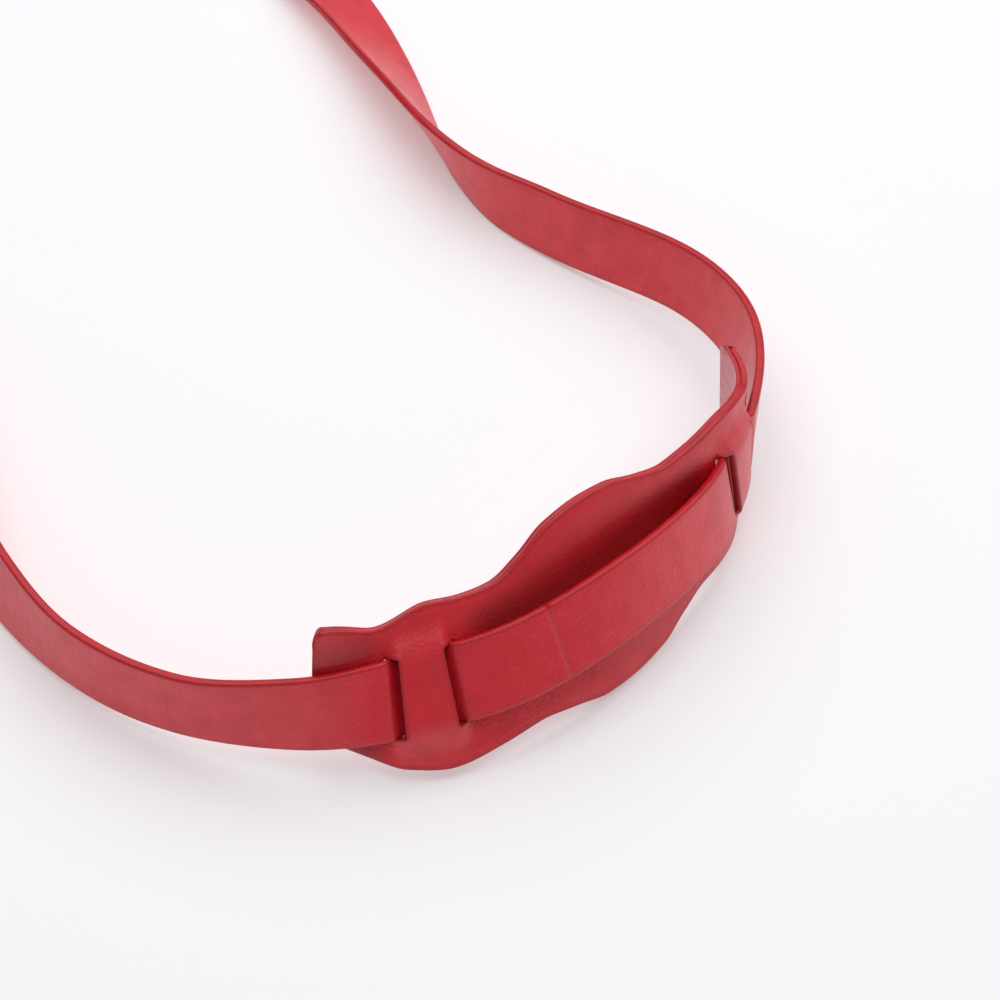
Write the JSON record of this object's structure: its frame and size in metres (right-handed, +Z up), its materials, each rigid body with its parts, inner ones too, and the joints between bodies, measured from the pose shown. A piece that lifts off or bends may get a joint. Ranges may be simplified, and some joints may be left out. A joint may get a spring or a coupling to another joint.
{
  "type": "camera neck strap",
  "caption": "Flat leather camera neck strap threaded through the slots of a shaped slip-on shoulder pad, with a split ring and leather guard at each end.",
  "frame": {"origin": "centre of the bottom of the box around the strap as it lies on a table", "axes": "+Z up from the table, +Y from the shoulder pad towards the two ends, +X to the right of the pad"},
  "size_m": [0.3322, 0.454, 0.0469],
  "materials": {
    "strap_leather": "red dyed cowhide, satin, painted edges",
    "pad_leather": "red dyed cowhide, satin, painted edges",
    "suede_lining": "dusty pink suede",
    "spring_steel": "polished spring steel",
    "nickel_plate": "polished nickel plate"
  },
  "bodies": {
    "strap": {"strap_left_arm": "strap_leather", "strap_right_arm": "strap_leather", "left_ring_loop": "strap_leather", "left_ring_guard": "pad_leather", "left_rivet_post_1": "nickel_plate", "left_rivet_cap_1": "nickel_plate", "left_rivet_post_2": "nickel_plate", "left_rivet_cap_2": "nickel_plate", "right_ring_loop": "strap_leather", "right_ring_guard": "pad_leather", "right_rivet_post_1": "nickel_plate", "right_rivet_cap_1": "nickel_plate", "right_rivet_post_2": "nickel_plate", "right_rivet_cap_2": "nickel_plate"},
    "pad": {"pad_top_leather": "pad_leather", "pad_lining": "suede_lining", "strap_woven_section": "strap_leather"},
    "left_ring": {"left_split_ring": "spring_steel"},
    "right_ring": {"right_split_ring": "spring_steel"}
  },
  "joints": [
    {"name": "pad_slide", "type": "hinge", "parent": "strap", "child": "pad", "pos_m": [0.06653, -0.11769, 0.02], "axis": [0, 0, 1], "range_deg": [-1.5, 1.5]},
    {"name": "left_ring_swivel", "type": "hinge", "parent": "strap", "child": "left_ring", "pos_m": [-0.15047, 0.14411, 0.0068], "axis": [0.9397, 0.342, 0], "range_deg": [0, 150]},
    {"name": "right_ring_swivel", "type": "hinge", "parent": "strap", "child": "right_ring", "pos_m": [-0.10991, 0.20922, 0.0068], "axis": [0.6157, 0.788, 0], "range_deg": [0, 150]}
  ]
}
